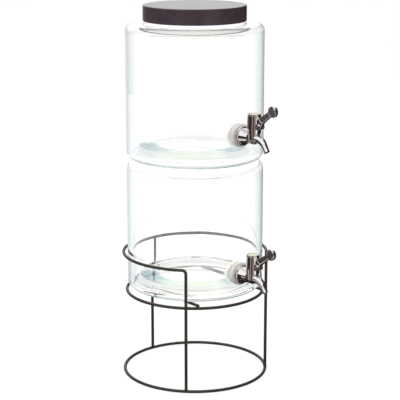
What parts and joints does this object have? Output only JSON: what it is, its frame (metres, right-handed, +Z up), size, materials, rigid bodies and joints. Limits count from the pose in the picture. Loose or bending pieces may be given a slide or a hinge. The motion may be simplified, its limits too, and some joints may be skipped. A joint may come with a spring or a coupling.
{
  "type": "double beverage dispenser",
  "caption": "Stacked glass drink jars with lever taps and a flat metal lid, standing in a round wire stand.",
  "frame": {"origin": "centre of the base ring, at table level", "axes": "+Z up, -Y the side that the taps point to, +X to the right seen from the taps' side"},
  "size_m": [0.1946, 0.2561, 0.4933],
  "materials": {
    "glass": "clear, slightly green in the thick foot",
    "stand_wire": "dark brown-black semi-gloss powder coat",
    "lid_metal": "dark brown-black satin paint",
    "chrome": "bright polished plating",
    "steel": "drawn wire",
    "silicone": "cream-white silicone",
    "white_plastic": "white moulded plastic"
  },
  "bodies": {
    "stand": {"base_ring": "stand_wire", "shelf_ring": "stand_wire", "hoop_front_legs": "stand_wire", "rear_leg": "stand_wire", "support_rod_left": "stand_wire", "support_rod_right": "stand_wire"},
    "lower_jar_assembly": {"lower_jar": "glass", "lower_tap_body": "chrome", "lower_tap_spout": "chrome", "lower_tap_bonnet": "chrome", "lower_tap_cap": "chrome", "lower_lever_pin": "steel", "lower_return_spring": "steel", "lower_outer_washer": "silicone", "lower_inner_washer": "silicone", "lower_shank_nut": "white_plastic"},
    "lower_lever": {"lower_tap_lever": "chrome"},
    "lower_valve": {"lower_valve_stem": "white_plastic", "lower_valve_plug": "silicone"},
    "upper_jar_assembly": {"upper_jar": "glass", "upper_tap_body": "chrome", "upper_tap_spout": "chrome", "upper_tap_bonnet": "chrome", "upper_tap_cap": "chrome", "upper_lever_pin": "steel", "upper_return_spring": "steel", "upper_outer_washer": "silicone", "upper_inner_washer": "silicone", "upper_shank_nut": "white_plastic"},
    "upper_lever": {"upper_tap_lever": "chrome"},
    "upper_valve": {"upper_valve_stem": "white_plastic", "upper_valve_plug": "silicone"},
    "lid": {"lid_cap": "lid_metal", "lid_plug": "white_plastic", "lid_seal": "silicone"}
  },
  "joints": [
    {"name": "lower_jar_lift", "type": "slide", "parent": "stand", "child": "lower_jar_assembly", "axis": [0, 0, 1], "range_m": [0, 0.12]},
    {"name": "lower_lever_press", "type": "hinge", "parent": "lower_jar_assembly", "child": "lower_lever", "pos_m": [0, -0.1277, 0.1708], "axis": [1, 0, 0], "range_deg": [0, 28], "stiffness_Nm_per_rad": 0.05, "springref_deg": -57.3},
    {"name": "lower_valve_lift", "type": "slide", "parent": "lower_jar_assembly", "child": "lower_valve", "axis": [0, 0, 1], "range_m": [0, 0.0052], "deforming": ["lower_return_spring"]},
    {"name": "upper_jar_lift", "type": "slide", "parent": "lower_jar_assembly", "child": "upper_jar_assembly", "axis": [0, 0, 1], "range_m": [0, 0.1]},
    {"name": "upper_lever_press", "type": "hinge", "parent": "upper_jar_assembly", "child": "upper_lever", "pos_m": [0, -0.1277, 0.35195], "axis": [1, 0, 0], "range_deg": [0, 28], "stiffness_Nm_per_rad": 0.05, "springref_deg": -57.3},
    {"name": "upper_valve_lift", "type": "slide", "parent": "upper_jar_assembly", "child": "upper_valve", "axis": [0, 0, 1], "range_m": [0, 0.0052], "deforming": ["upper_return_spring"]},
    {"name": "lid_lift", "type": "slide", "parent": "upper_jar_assembly", "child": "lid", "axis": [0, 0, 1], "range_m": [0, 0.06]}
  ],
  "couplings": [
    {"joint": "lower_valve_lift", "follows": "lower_lever_press", "m_per_rad": 0.010495},
    {"joint": "upper_valve_lift", "follows": "upper_lever_press", "m_per_rad": 0.010495}
  ]
}
